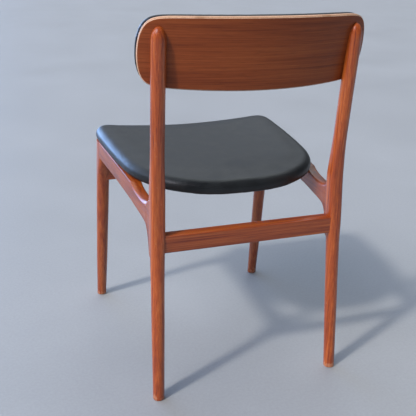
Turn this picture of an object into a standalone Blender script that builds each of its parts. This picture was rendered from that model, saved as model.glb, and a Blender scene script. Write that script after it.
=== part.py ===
"""A Danish-style teak dining chair: shaped frame, dished vinyl seat and a curved, padded back.

Units are metres and +Z is up. The chair faces -Y and its left side, as seen by the sitter, is +X.
Sizes along Y are counted from the front feet; the empty "chair" then centres the whole on the origin.
"""
import math
from collections import namedtuple

import bmesh
import bpy
from mathutils import Matrix, Vector

# ---- whole chair ----
CENTRING_SHIFT_Y = -0.24846
GAP = 0.0003              # between faces that touch on the real chair
SEAT_GAP = 0.0006         # between the seat's curved, faceted underside and the wood below it

# ---- rear posts: the centre line falls from the foot to the knee, then leans back to the tip ----
POST_FOOT = Vector((0.2013, 0.4875, 0.0))
POST_KNEE = Vector((0.1938, 0.4450, 0.4450))
POST_TIP = Vector((0.1969, 0.4655, 0.7592))
KNEE_SOFTNESS = 0.0022    # how far the rounded knee stands off the two straight lines
POST_RADII = ((0.0, 0.0122), (0.2, 0.0136), (0.35, 0.0147), (0.43, 0.0149), (0.5, 0.0137),
              (0.6, 0.0140), (0.7, 0.0144), (0.76, 0.0144))
POST_SQUARENESS = ((0.0, 2.0), (0.29, 2.0), (0.38, 3.6), (0.44, 3.6), (0.54, 2.0), (0.76, 2.0))
POST_DOME = 0.028

# ---- front legs ----
LEG_FOOT = Vector((0.2184, 0.0, 0.0))
LEG_TOP = Vector((0.2131, 0.0480, 0.4352))    # the cap above it slants with the seat
LEG_RADII = ((0.0, 0.0117), (0.15, 0.0140), (0.3, 0.0152), (0.44, 0.0150))
LEG_SQUARENESS = ((0.0, 2.0), (0.30, 2.0), (0.39, 3.6), (0.44, 3.6))
LEG_HEEL = ((0.0, 0.0), (0.345, 0.0), (0.395, 0.009), (0.44, 0.009))    # how far the top grows rearward
FOOT_CHAMFER = 0.002

# ---- side rails: one outline, drawn along the rail, front end first ----
RAIL_THICKNESS = 0.024
RAIL_EDGE = 0.004
RAIL_SET_IN = 0.0006      # outer face behind the legs' outer faces
RAIL_REFERENCE_X = 0.198  # where the outline's top edge lies under the dished seat
RAIL_SLANT_Z = 0.4250     # above this, and ahead of the scoop, the rail slants with the seat
RAIL_TOP_Y = (0.0530, 0.300)
RAIL_SCOOP = ((0.320, 0.4250), (0.335, 0.4190), (0.355, 0.4145), (0.383, 0.4125), (0.407, 0.4142),
              (0.424, 0.4200), (0.434, 0.4300))
RAIL_REAR_END = ((0.4455, 0.4350), (0.4560, 0.3000))
RAIL_UNDERSIDE = ((0.4435, 0.3060), (0.4405, 0.3230), (0.4370, 0.3390), (0.4320, 0.3540),
                  (0.4230, 0.3650), (0.4040, 0.3720), (0.3200, 0.3835), (0.2100, 0.3915),
                  (0.1200, 0.3950), (0.0530, 0.3965))

# ---- cross members ----
STRETCHER_DEPTH = 0.026
REAR_STRETCHER_HEIGHT = 0.0356
REAR_STRETCHER_Y = 0.4525
REAR_STRETCHER_TOP = 0.3570
FRONT_STRETCHER_HEIGHT = 0.040
FRONT_STRETCHER_TOP = 0.3770
CROSS_EDGE = 0.002

# ---- seat: half outline at mid thickness, from the front centre round to the rear centre ----
SEAT_OUTLINE = ((0.0, 0.0000), (0.0900, -0.0012), (0.1650, -0.0012), (0.2030, 0.0040), (0.2235, 0.0220),
                (0.2290, 0.0560), (0.2260, 0.1500), (0.2175, 0.2550), (0.2065, 0.3100),
                (0.1860, 0.3520), (0.1535, 0.3875), (0.1060, 0.4170), (0.0540, 0.4310), (0.0, 0.4340))
SEAT_THICKNESS = 0.030
SEAT_TOP_RADIUS = 0.015
SEAT_LOWER_RADIUS = 0.006
SEAT_FRONT_Z = 0.4440     # mid thickness at the front centre
SEAT_FALL = 0.0256        # fall to the rear, per metre
SEAT_DISH = 0.0105        # rise at the front of the sides above the centre line
SEAT_DISH_FADE = 0.013    # how that rise fades to the rear, per metre
SEAT_HALF_WIDTH = 0.205
COVER_THICKNESS = 0.0012
FILLING_SLACK = 0.0017    # between a cover and the board and foam inside it, round the edge
SEAT_BOARD_THICKNESS = 0.008
LAYER_GAP = 0.0016        # between curved layers, which are faceted
DUST_COVER_THICKNESS = 0.0008
DUST_COVER_INSET = 0.036
COVER_TURN_UNDER = 0.050

# ---- back: veneered, moulded panel with a pad on its front ----
BACK_HALF_WIDTH = 0.2322
BACK_MIDDLE_Z = 0.7120
BACK_RISE = 0.0655
BACK_DROP = 0.0715
BACK_TOP_SHARPNESS = 18
BACK_BOTTOM_SHARPNESS = 20
BACK_TOP_CLOSING = 0.03   # how far the top edge closes in towards the ends
BACK_BOTTOM_CLOSING = 0.118
BACK_RADIUS = 0.500
BACK_REAR_Y = 0.4976      # rear face at the middle
BACK_LEAN = 0.175         # along Y for each metre up
PANEL_THICKNESS = 0.010
PANEL_EDGE = 0.0038
PAD_GROWTH = (0.0058, -0.0012, 0.0010)    # at the ends, the top and the bottom
PAD_THICKNESS = 0.022
PAD_FRONT_RADIUS = 0.013
PAD_REAR_RADIUS = 0.005
PAD_STAND_OFF = 0.0020    # narrow gap between the panel and the pad
PAD_BOARD_THICKNESS = 0.005
PAD_TURN_UNDER = 0.024

# ---- fixings ----
DOWEL_RADIUS = 0.004
DOWEL_LENGTH = 0.034
DOWEL_CHAMFER = 0.001
HOLE_CLEARANCE = 0.0003
HOLE_EXTRA_DEPTH = 0.001
SIDE_DOWEL_FRONT_Z = (0.4085, 0.4240)
SIDE_DOWEL_REAR_Z = (0.3820, 0.4020)
FRONT_STRETCHER_DOWEL_Z = (0.3480, 0.3660)
REAR_STRETCHER_DOWEL_Z = (0.3312, 0.3472)
SEAT_SCREW_Y = (0.100, 0.255)
SEAT_SCREW_SHORTFALL = 0.0016    # of the tip, below the top of the seat board
BACK_SCREW_Z = (0.6800, 0.7300)
SCREW_SHANK_RADIUS = 0.002
SCREW_HEAD_RADIUS = 0.0042
SCREW_HEAD_HEIGHT = 0.003
SEAT_SCREW_LENGTH = 0.034
BACK_SCREW_LENGTH = 0.022

# ---- facets ----
SECTION_POINTS = 20       # round a leg or post
FIXING_POINTS = 12        # round a dowel or screw
SIDES = {"left": 1, "right": -1}

# An upholstered board: place(x, y, height) puts a point of the outline, height from mid thickness.
Pad = namedtuple("Pad", "outline place thickness lower_radius upper_radius board_thickness turn_under")


def clear_scene():
    for obj in list(bpy.data.objects):
        bpy.data.objects.remove(obj, do_unlink=True)


def new_collection(name, hidden=False):
    collection = bpy.data.collections.new(name)
    bpy.context.scene.collection.children.link(collection)
    collection.hide_render = hidden
    return collection


def make_material(name, colour, roughness, metallic=0.0):
    material = bpy.data.materials.new(name)
    material.use_nodes = True
    shader = material.node_tree.nodes["Principled BSDF"]
    shader.inputs["Base Color"].default_value = (*colour, 1.0)
    shader.inputs["Roughness"].default_value = roughness
    shader.inputs["Metallic"].default_value = metallic
    return material


def add_object(name, mesh, collection, material=None, smooth=False):
    """Link a mesh as an object that hangs on the chair's empty."""
    obj = bpy.data.objects.new(name, mesh)
    collection.objects.link(obj)
    obj.parent = chair
    if material:
        mesh.materials.append(material)
    if smooth:
        mesh.shade_smooth()
    return obj


def add_cutter(name, mesh):
    obj = add_object(name, mesh, cutters)
    obj.hide_render = True
    obj.display_type = "WIRE"
    return obj


def cut(target, cutter):
    boolean = target.modifiers.new(cutter.name, "BOOLEAN")
    boolean.operation = "DIFFERENCE"
    boolean.solver = "EXACT"
    boolean.object = cutter


def interpolate(table, position):
    """Read a table of (position, value) pairs, easing smoothly from each pair to the next."""
    if position <= table[0][0]:
        return table[0][1]
    for (start, low), (end, high) in zip(table, table[1:]):
        if position <= end:
            t = (position - start) / (end - start)
            return low + (high - low) * t * t * (3 - 2 * t)
    return table[-1][1]


def smooth_curve(points, steps):
    """Points on a Catmull-Rom curve through the given ones, with the same number in each span."""
    padded = [2 * points[0] - points[1], *points, 2 * points[-1] - points[-2]]
    curve = []
    for a, b, c, d in zip(padded, padded[1:], padded[2:], padded[3:]):
        for step in range(steps):
            t = step / steps
            curve.append(0.5 * (2 * b + (c - a) * t + (2 * a - 5 * b + 4 * c - d) * t * t
                                + (3 * b - a - 3 * c + d) * t ** 3))
    curve.append(points[-1].copy())
    return curve


def loft(name, rings):
    """A solid through rings of equally many points, capped at its first and last ring."""
    bm = bmesh.new()
    rows = [[bm.verts.new(point) for point in ring] for ring in rings]
    count = len(rows[0])
    for lower, upper in zip(rows, rows[1:]):
        for i in range(count):
            j = (i + 1) % count
            bm.faces.new((lower[i], lower[j], upper[j], upper[i]))
    bm.faces.new(list(reversed(rows[0])))
    bm.faces.new(rows[-1])
    bmesh.ops.recalc_face_normals(bm, faces=bm.faces)
    bmesh.ops.triangulate(bm, faces=bm.faces)
    mesh = bpy.data.meshes.new(name)
    bm.to_mesh(mesh)
    bm.free()
    return mesh


# ---- legs and posts ----

def squircle(centre, radius, squareness):
    """A level section that is a circle at squareness 2 and grows squarer above it."""
    ring = []
    for i in range(SECTION_POINTS):
        angle = 2 * math.pi * i / SECTION_POINTS
        x, y = math.cos(angle), math.sin(angle)
        reach = radius / (abs(x) ** squareness + abs(y) ** squareness) ** (1 / squareness)
        ring.append(Vector((centre.x + x * reach, centre.y + y * reach, centre.z)))
    return ring


def post_centre(z):
    """Centre of the left rear post at height z, with its rounded knee."""
    lower = POST_FOOT.lerp(POST_KNEE, z / POST_KNEE.z)
    upper = POST_KNEE.lerp(POST_TIP, (z - POST_KNEE.z) / (POST_TIP.z - POST_KNEE.z))
    blend = math.sqrt(((lower.y - upper.y) / 2) ** 2 + KNEE_SOFTNESS ** 2)
    x = lower.x if z < POST_KNEE.z else upper.x
    return Vector((x, (lower.y + upper.y) / 2 + blend, z))


def leg_centre(z):
    return LEG_FOOT.lerp(LEG_TOP, z / LEG_TOP.z)


def post_rings(side, growth=0.0):
    heights = [0.0, FOOT_CHAMFER, 0.12, 0.22, 0.26, 0.29, 0.32, 0.345, 0.37, 0.395, 0.42, 0.445, 0.47,
               0.495, 0.52, 0.55, 0.59, 0.64, 0.69]
    rings = []
    for z in heights:
        centre = post_centre(z)
        radius = interpolate(POST_RADII, z) + growth
        if z == 0.0:
            radius -= FOOT_CHAMFER
        rings.append(squircle(centre, radius, interpolate(POST_SQUARENESS, z)))
    top = POST_TIP.z - POST_DOME
    for angle in (0, 25, 48, 68, 82):
        z = top + POST_DOME * math.sin(math.radians(angle)) + growth
        radius = (interpolate(POST_RADII, top) + growth) * math.cos(math.radians(angle))
        rings.append(squircle(post_centre(z), radius, 2.0))
    return [[Vector((p.x * side, p.y, p.z)) for p in ring] for ring in rings]


def leg_rear_y(z):
    """Rear face of the front leg, whose top grows rearward into a heel that meets the side rail."""
    return leg_centre(z).y + interpolate(LEG_RADII, z) + interpolate(LEG_HEEL, z)


def leg_rings(side, growth=0.0):
    rings = []
    for z in (0.0, FOOT_CHAMFER, 0.08, 0.16, 0.24, 0.30, 0.33, 0.345, 0.36, 0.375, 0.39, 0.41, LEG_TOP.z):
        centre = leg_centre(z)
        radius = interpolate(LEG_RADII, z) + growth
        if z == 0.0:
            radius -= FOOT_CHAMFER
        stretch = 1 + interpolate(LEG_HEEL, z) / radius
        ring = squircle(centre, radius, interpolate(LEG_SQUARENESS, z))
        for point in ring:
            point.x *= side
            if point.y > centre.y:
                point.y = centre.y + (point.y - centre.y) * stretch
            if z == LEG_TOP.z:
                point.z = seat_under_z(point.x, point.y) - SEAT_GAP + growth
        rings.append(ring)
    return rings


# ---- side rails ----

def rail_plane(side):
    """A matrix that stands the rail's outline up: local X runs rearward, Y up and Z outward."""
    front = leg_centre(0.41)
    rear = post_centre(0.41)
    front_face = front.x + interpolate(LEG_RADII, 0.41)
    rear_face = rear.x + interpolate(POST_RADII, 0.41)
    angle = math.atan2(rear_face - front_face, rear.y - front.y)
    along = Vector((math.sin(angle), math.cos(angle), 0.0))
    outward = Vector((along.y, -along.x, 0.0))
    set_in = RAIL_THICKNESS / 2 + RAIL_SET_IN
    origin = Vector((front_face, front.y, 0.0)) - along * front.y - outward * set_in
    matrix = Matrix((along, Vector((0, 0, 1)), outward)).transposed().to_4x4()
    matrix.translation = origin
    return Matrix.Diagonal((side, 1, 1, 1)) @ matrix


def seat_mid_z(x, y):
    """Height of the dished seat's mid thickness."""
    rise = (SEAT_DISH - SEAT_DISH_FADE * y) * (x / SEAT_HALF_WIDTH) ** 2
    return SEAT_FRONT_Z - SEAT_FALL * y + rise


def seat_under_z(x, y):
    return seat_mid_z(x, y) - SEAT_THICKNESS / 2


def rail_top_z(y):
    return seat_under_z(RAIL_REFERENCE_X, y) - SEAT_GAP


def rail_outline():
    start, end = RAIL_TOP_Y
    top = [Vector((y, rail_top_z(y))) for y in (start, (start + end) / 2, end)]
    scoop = smooth_curve([top[-1], *(Vector(p) for p in RAIL_SCOOP)], 2)
    underside = smooth_curve([Vector(p) for p in RAIL_UNDERSIDE], 2)
    rear_end = [Vector(p) for p in RAIL_REAR_END]
    return top[:-1] + scoop + rear_end + underside


def rail_mesh(name, side, growth=0.0):
    """The outline given its thickness, with a rounded rim on each face."""
    plane = rail_plane(side)
    half = RAIL_THICKNESS / 2 + growth
    outline = inset(rail_outline(), -growth)
    profile = round_edges(-half, half, RAIL_EDGE)

    def place(y, z, offset):
        point = plane @ Vector((y, z, offset))
        if z > RAIL_SLANT_Z and y < RAIL_TOP_Y[1] + growth:
            point.z += seat_mid_z(point.x, y) - seat_mid_z(RAIL_REFERENCE_X, y)
        return point

    return loft(name, rings_of(outline, profile, place))


# ---- outlines and the bodies made from them ----

def round_edges(low, high, radius):
    """(inset, height) pairs of a slab's edge, rounded at its lower and upper rims."""
    turns = [math.radians(a) for a in (0, 45, 90)]
    lower = [(radius * (1 - math.sin(a)), low + radius * (1 - math.cos(a))) for a in turns]
    upper = [(inset_by, low + high - height) for inset_by, height in reversed(lower)]
    return lower + upper


def inset(outline, distance):
    """Move a closed outline inwards by a distance, or outwards if it is negative."""
    count = len(outline)
    area = sum(a.x * b.y - b.x * a.y for a, b in zip(outline, outline[1:] + outline[:1]))
    turn = 1 if area > 0 else -1
    moved = []
    for i, point in enumerate(outline):
        before = (point - outline[i - 1]).normalized()
        after = (outline[(i + 1) % count] - point).normalized()
        along = (before + after).normalized()
        inward = Vector((-along.y, along.x)) * turn
        moved.append(point + inward * distance / max(along.dot(after), 0.5))
    return moved


def mirrored_outline(half):
    """A closed outline from its left half, which starts and ends on the centre line."""
    return half + [Vector((-p.x, p.y)) for p in reversed(half[1:-1])]


def rings_of(outline, profile, place):
    return [[place(p.x, p.y, height) for p in inset(outline, by)] for by, height in profile]


def fan_rings(outline, by, height, place, scales=(0.84, 0.5, 0.03)):
    """Rings that close in on the middle of a face, so that the face follows its curved surface."""
    edge = inset(outline, by)
    centre = sum(edge, Vector((0, 0))) / len(edge)
    return [[place(*(centre + (p - centre) * scale), height) for p in edge] for scale in scales]


def slab(name, outline, profile, place):
    """A solid slab whose edge runs through the profile's (inset, height) pairs."""
    lower = list(reversed(fan_rings(outline, *profile[0], place)))
    return loft(name, lower + rings_of(outline, profile, place) + fan_rings(outline, *profile[-1], place))


def edge_inset(pad, skin, height):
    """How far a layer skin deep inside the pad stands in from its outline, at a height."""
    lower_centre = pad.lower_radius - pad.thickness / 2
    upper_centre = pad.thickness / 2 - pad.upper_radius
    if height < lower_centre:
        reach = (pad.lower_radius - skin) ** 2 - (height - lower_centre) ** 2
        return pad.lower_radius - math.sqrt(max(reach, 0.0))
    if height > upper_centre:
        reach = (pad.upper_radius - skin) ** 2 - (height - upper_centre) ** 2
        return pad.upper_radius - math.sqrt(max(reach, 0.0))
    return skin


def layer_profile(pad, skin, low, high):
    """(inset, height) pairs round the edge of a layer inside a pad, between two heights."""
    heights = [low + (high - low) * i / 4 for i in range(5)]
    return [(edge_inset(pad, skin, height), height) for height in heights]


def skin_profile(pad, skin):
    """(inset, height) pairs round a pad's whole edge, or round the inside of its cover."""
    pairs = []
    for angle in (-90, -55, -20):
        turn = math.radians(angle)
        radius = pad.lower_radius - skin
        pairs.append((pad.lower_radius - radius * math.cos(turn),
                      pad.lower_radius - pad.thickness / 2 + radius * math.sin(turn)))
    for angle in (5, 35, 62, 90):
        turn = math.radians(angle)
        radius = pad.upper_radius - skin
        pairs.append((pad.upper_radius - radius * math.cos(turn),
                      pad.thickness / 2 - pad.upper_radius + radius * math.sin(turn)))
    return pairs


def cover_mesh(name, pad):
    """A skin that wraps a pad's upper side and edge and turns in under its lower side."""
    outer = skin_profile(pad, 0.0)
    inner = skin_profile(pad, COVER_THICKNESS)
    outer_rings = rings_of(pad.outline, [(pad.turn_under, outer[0][1])] + outer, pad.place)
    inner_rings = rings_of(pad.outline, [(pad.turn_under, inner[0][1])] + inner, pad.place)
    outer_top = fan_rings(pad.outline, *outer[-1], pad.place)
    inner_top = fan_rings(pad.outline, *inner[-1], pad.place)
    inside = list(reversed(inner_rings + inner_top))
    return loft(name, inside + outer_rings + outer_top)


def board_mesh(name, pad):
    skin = COVER_THICKNESS + FILLING_SLACK
    low = skin - pad.thickness / 2
    return slab(name, pad.outline, layer_profile(pad, skin, low, low + pad.board_thickness), pad.place)


def foam_mesh(name, pad):
    skin = COVER_THICKNESS + FILLING_SLACK
    low = skin - pad.thickness / 2 + pad.board_thickness + LAYER_GAP
    high = pad.thickness / 2 - skin
    return slab(name, pad.outline, layer_profile(pad, skin, low, high), pad.place)


def seat_place(x, y, height):
    return Vector((x, y, seat_mid_z(x, y) + height))


def back_place(x, z, depth):
    """A point on the leaning, curved back; depth counts forward from the panel's rear face."""
    y = BACK_REAR_Y + BACK_LEAN * (z - BACK_MIDDLE_Z) - BACK_RADIUS + math.sqrt(BACK_RADIUS ** 2 - x * x)
    rearward = Vector((x / BACK_RADIUS, math.sqrt(1 - (x / BACK_RADIUS) ** 2), -BACK_LEAN)).normalized()
    return Vector((x, y, z)) - rearward * depth


def pad_place(x, z, height):
    return back_place(x, z, PANEL_THICKNESS + PAD_STAND_OFF + PAD_THICKNESS / 2 + height)


def seat_outline():
    return mirrored_outline(smooth_curve([Vector(p) for p in SEAT_OUTLINE], 2))


def back_outline(ends=0.0, top=0.0, bottom=0.0):
    """The panel's outline, or one that stands out from it by the given amounts."""
    turns = [math.radians(a) for a in (0, 20, 38, 52, 62, 70, 76, 80, 84, 87.5)]
    half_width = BACK_HALF_WIDTH + ends
    lower = []
    upper = []
    for angle in turns:
        reach = math.sin(angle)
        closing_in = reach ** 2
        drop = (BACK_DROP + bottom) * math.sqrt(1 - reach ** BACK_BOTTOM_SHARPNESS)
        rise = (BACK_RISE + top) * math.sqrt(1 - reach ** BACK_TOP_SHARPNESS)
        drop *= 1 - BACK_BOTTOM_CLOSING * closing_in
        rise *= 1 - BACK_TOP_CLOSING * closing_in
        lower.append(Vector((half_width * reach, BACK_MIDDLE_Z - drop)))
        upper.append(Vector((half_width * reach, BACK_MIDDLE_Z + rise)))
    end = Vector((half_width, BACK_MIDDLE_Z))
    return mirrored_outline(lower + [end] + list(reversed(upper)))


# ---- dowels and screws ----

def cylinder_mesh(name, radius, length):
    bm = bmesh.new()
    bmesh.ops.create_cone(bm, cap_ends=True, segments=FIXING_POINTS, radius1=radius, radius2=radius,
                          depth=length)
    mesh = bpy.data.meshes.new(name)
    bm.to_mesh(mesh)
    bm.free()
    return mesh


def profile_mesh(name, profile):
    """A chain of edges through (height, radius) pairs, from axis to axis, for a Screw modifier."""
    points = [(0.0, profile[0][0]), *((radius, height) for height, radius in profile), (0.0, profile[-1][0])]
    bm = bmesh.new()
    chain = [bm.verts.new((x, 0.0, z)) for x, z in points]
    for a, b in zip(chain, chain[1:]):
        bm.edges.new((a, b))
    mesh = bpy.data.meshes.new(name)
    bm.to_mesh(mesh)
    bm.free()
    return mesh


def turn_profile(obj):
    turned = obj.modifiers.new("turned", "SCREW")
    turned.steps = FIXING_POINTS
    turned.render_steps = FIXING_POINTS
    turned.use_merge_vertices = True
    turned.merge_threshold = 1e-6
    turned.use_normal_calculate = True


def point_along(obj, location, direction):
    obj.location = location
    obj.rotation_euler = Vector(direction).to_track_quat("Z", "Y").to_euler()


def add_dowel(name, centre, direction, targets):
    """A dowel that straddles the joint at its centre, and the hole for it in both pieces."""
    dowel = add_object(name, cylinder_mesh(name, DOWEL_RADIUS, DOWEL_LENGTH), parts, beech, smooth=True)
    point_along(dowel, centre, direction)
    chamfer = dowel.modifiers.new("chamfer", "BEVEL")
    chamfer.width = DOWEL_CHAMFER
    chamfer.segments = 1
    chamfer.angle_limit = math.radians(60)
    bore = cylinder_mesh(name + "_hole", DOWEL_RADIUS + HOLE_CLEARANCE, DOWEL_LENGTH + 2 * HOLE_EXTRA_DEPTH)
    hole = add_cutter(name + "_hole", bore)
    point_along(hole, centre, direction)
    for target in targets:
        cut(target, hole)


def add_screw(name, head, direction, length, sink, targets):
    """A countersunk screw, and its hole with a counterbore of depth sink behind the head."""
    profile = [(0, SCREW_HEAD_RADIUS), (0.0006, SCREW_HEAD_RADIUS), (SCREW_HEAD_HEIGHT, SCREW_SHANK_RADIUS),
               (length - 0.005, SCREW_SHANK_RADIUS), (length, 0.0004)]
    screw = add_object(name, profile_mesh(name, profile), parts, steel, smooth=True)
    point_along(screw, head, direction)
    turn_profile(screw)
    bore = [(-sink, SCREW_HEAD_RADIUS + GAP), (0.0006, SCREW_HEAD_RADIUS + GAP),
            (SCREW_HEAD_HEIGHT, SCREW_SHANK_RADIUS + GAP), (length + GAP, SCREW_SHANK_RADIUS + GAP)]
    hole = add_cutter(name + "_hole", profile_mesh(name + "_hole", bore))
    point_along(hole, head, direction)
    turn_profile(hole)
    for target in targets:
        cut(target, hole)


# ---- sub-assemblies ----

def add_legs():
    for label, side in SIDES.items():
        post = "rear_post_" + label
        leg = "front_leg_" + label
        frame[post] = add_object(post, loft(post, post_rings(side)), parts, teak, smooth=True)
        frame[leg] = add_object(leg, loft(leg, leg_rings(side)), parts, teak, smooth=True)
        clearances[post] = add_cutter(post + "_clearance", loft(post + "_clearance", post_rings(side, GAP)))
        clearances[leg] = add_cutter(leg + "_clearance", loft(leg + "_clearance", leg_rings(side, GAP)))


def add_side_rail(label, side):
    name = "side_rail_" + label
    plane = rail_plane(side)
    rail = add_object(name, rail_mesh(name, side), parts, teak)
    frame[name] = rail
    clearances[name] = add_cutter(name + "_clearance", rail_mesh(name + "_clearance", side, GAP))
    post = "rear_post_" + label
    leg = "front_leg_" + label
    cut(rail, clearances[leg])
    cut(rail, clearances[post])
    along = plane.to_3x3() @ Vector((1, 0, 0))
    for number, z in enumerate(SIDE_DOWEL_FRONT_Z, 1):
        centre = plane @ Vector((leg_rear_y(z), z, 0))
        add_dowel(f"side_rail_{label}_front_dowel_{number}", centre, along, [rail, frame[leg]])
    for number, z in enumerate(SIDE_DOWEL_REAR_Z, 1):
        joint = post_centre(z).y - interpolate(POST_RADII, z)
        centre = plane @ Vector((joint, z, 0))
        add_dowel(f"side_rail_{label}_rear_dowel_{number}", centre, along, [rail, frame[post]])


def cross_member(name, half_length, y, top, height):
    """A stretcher across the chair with rounded long edges."""
    bm = bmesh.new()
    bmesh.ops.create_cube(bm, size=1.0)
    bmesh.ops.scale(bm, vec=(2 * half_length, STRETCHER_DEPTH, height), verts=bm.verts)
    mesh = bpy.data.meshes.new(name)
    bm.to_mesh(mesh)
    bm.free()
    bar = add_object(name, mesh, parts, teak)
    bar.location = (0.0, y, top - height / 2)
    rounding = bar.modifiers.new("rounding", "BEVEL")
    rounding.width = CROSS_EDGE
    rounding.segments = 3
    frame[name] = bar
    return bar


def add_front_stretcher():
    y = leg_centre(FRONT_STRETCHER_TOP - FRONT_STRETCHER_HEIGHT / 2).y
    stretcher = cross_member("front_stretcher", LEG_TOP.x, y, FRONT_STRETCHER_TOP, FRONT_STRETCHER_HEIGHT)
    for label, side in SIDES.items():
        leg = "front_leg_" + label
        cut(stretcher, clearances[leg])
        for number, z in enumerate(FRONT_STRETCHER_DOWEL_Z, 1):
            centre = Vector((side * (leg_centre(z).x - interpolate(LEG_RADII, z)), y, z))
            add_dowel(f"front_stretcher_{label}_dowel_{number}", centre, (1, 0, 0),
                      [stretcher, frame[leg]])


def add_rear_stretcher():
    stretcher = cross_member("rear_stretcher", POST_KNEE.x, REAR_STRETCHER_Y, REAR_STRETCHER_TOP,
                             REAR_STRETCHER_HEIGHT)
    for label, side in SIDES.items():
        post = "rear_post_" + label
        cut(stretcher, clearances[post])
        cut(stretcher, clearances["side_rail_" + label])
        for number, z in enumerate(REAR_STRETCHER_DOWEL_Z, 1):
            joint = post_centre(z).x - interpolate(POST_RADII, z)
            centre = Vector((side * joint, REAR_STRETCHER_Y, z))
            add_dowel(f"rear_stretcher_{label}_dowel_{number}", centre, (1, 0, 0),
                      [stretcher, frame[post]])


def add_seat():
    pad = Pad(seat_outline(), seat_place, SEAT_THICKNESS, SEAT_LOWER_RADIUS, SEAT_TOP_RADIUS,
              SEAT_BOARD_THICKNESS, COVER_TURN_UNDER)
    low = -SEAT_THICKNESS / 2 - LAYER_GAP
    dust = [(DUST_COVER_INSET, low - DUST_COVER_THICKNESS), (DUST_COVER_INSET, low)]
    dust_cover = slab("seat_dust_cover", pad.outline, dust, seat_place)
    frame["seat_board"] = add_object("seat_board", board_mesh("seat_board", pad), parts, plywood)
    frame["seat_cover"] = add_object("seat_cover", cover_mesh("seat_cover", pad), parts, vinyl, smooth=True)
    add_object("seat_foam", foam_mesh("seat_foam", pad), parts, latex)
    add_object("seat_dust_cover", dust_cover, parts, cambric)
    board_low = -SEAT_THICKNESS / 2 + COVER_THICKNESS + FILLING_SLACK
    for label, side in SIDES.items():
        rail = frame["side_rail_" + label]
        for place, y in zip(("front", "rear"), SEAT_SCREW_Y):
            head = rail_plane(side) @ Vector((y, 0, 0))
            board_top = board_low + SEAT_BOARD_THICKNESS + seat_mid_z(head.x, y)
            head.z = board_top - SEAT_SCREW_SHORTFALL - SEAT_SCREW_LENGTH
            add_screw(f"seat_screw_{place}_{label}", head, (0, 0, 1), SEAT_SCREW_LENGTH, 0.03,
                      [rail, frame["seat_cover"], frame["seat_board"]])


def add_back():
    outline = back_outline()
    panel_profile = round_edges(0.0, PANEL_THICKNESS, PANEL_EDGE)
    panel = slab("back_panel", outline, panel_profile, back_place)
    frame["back_panel"] = add_object("back_panel", panel, parts, veneer, smooth=True)
    notch = [(-GAP, -LAYER_GAP), (-GAP, 0.05)]
    recess = add_cutter("panel_notch", slab("panel_notch", outline, notch, back_place))
    pad = Pad(back_outline(*PAD_GROWTH), pad_place, PAD_THICKNESS, PAD_REAR_RADIUS, PAD_FRONT_RADIUS,
              PAD_BOARD_THICKNESS, PAD_TURN_UNDER)
    add_object("back_pad_board", board_mesh("back_pad_board", pad), parts, plywood)
    add_object("back_foam", foam_mesh("back_foam", pad), parts, latex)
    add_object("back_cover", cover_mesh("back_cover", pad), parts, vinyl, smooth=True)
    for label, side in SIDES.items():
        post = frame["rear_post_" + label]
        cut(post, recess)
        for place, z in zip(("lower", "upper"), BACK_SCREW_Z):
            x = side * post_centre(z).x
            front = back_place(x, z, PANEL_THICKNESS)
            head = Vector((x, front.y + 0.0022, z))
            add_screw(f"back_screw_{place}_{label}", head, (0, 1, 0), BACK_SCREW_LENGTH, 0.006,
                      [frame["back_panel"], post])


clear_scene()
parts = new_collection("dining_chair")
cutters = new_collection("cutters", hidden=True)
chair = bpy.data.objects.new("chair", None)
chair.location.y = CENTRING_SHIFT_Y
parts.objects.link(chair)

teak = make_material("teak", (0.43, 0.17, 0.07), 0.35)
veneer = make_material("teak_veneer", (0.30, 0.11, 0.05), 0.35)
plywood = make_material("plywood", (0.62, 0.44, 0.26), 0.6)
beech = make_material("beech", (0.66, 0.48, 0.31), 0.6)
vinyl = make_material("black_vinyl", (0.035, 0.04, 0.045), 0.42)
latex = make_material("latex_foam", (0.80, 0.74, 0.58), 0.9)
cambric = make_material("black_cambric", (0.02, 0.02, 0.02), 0.95)
steel = make_material("zinc_plated_steel", (0.60, 0.58, 0.52), 0.35, metallic=1.0)

frame = {}
clearances = {}
add_legs()
for rail_label, rail_side in SIDES.items():
    add_side_rail(rail_label, rail_side)
add_front_stretcher()
add_rear_stretcher()
add_seat()
add_back()
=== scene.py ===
"""Looks for the teak dining chair: shaped and oiled wood, grained black vinyl, moulded ply and a studio.

Units are metres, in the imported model's own frame: the chair faces -Y and +X is its left side, as the
sitter sees it. The sizes below that describe a curve repeat those of the CAD source; the rest is read
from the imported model's boxes.
"""

import math

import bmesh
import bpy
import numpy as np
from mathutils import Matrix, Vector


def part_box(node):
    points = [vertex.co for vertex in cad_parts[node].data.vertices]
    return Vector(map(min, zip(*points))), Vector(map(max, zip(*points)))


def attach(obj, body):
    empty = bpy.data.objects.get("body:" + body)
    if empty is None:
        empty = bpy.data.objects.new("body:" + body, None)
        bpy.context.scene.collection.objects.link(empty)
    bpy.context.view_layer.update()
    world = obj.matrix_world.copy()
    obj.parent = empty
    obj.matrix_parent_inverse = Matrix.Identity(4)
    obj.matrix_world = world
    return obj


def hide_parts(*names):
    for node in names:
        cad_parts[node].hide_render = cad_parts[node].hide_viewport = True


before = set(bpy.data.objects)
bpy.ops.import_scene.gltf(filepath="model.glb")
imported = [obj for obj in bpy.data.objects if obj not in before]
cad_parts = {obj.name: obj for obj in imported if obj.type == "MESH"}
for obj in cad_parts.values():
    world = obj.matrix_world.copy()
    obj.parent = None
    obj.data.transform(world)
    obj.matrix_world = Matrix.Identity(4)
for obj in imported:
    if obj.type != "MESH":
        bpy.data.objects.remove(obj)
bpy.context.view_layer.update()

SIDES = {"left": 1, "right": -1}

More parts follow.
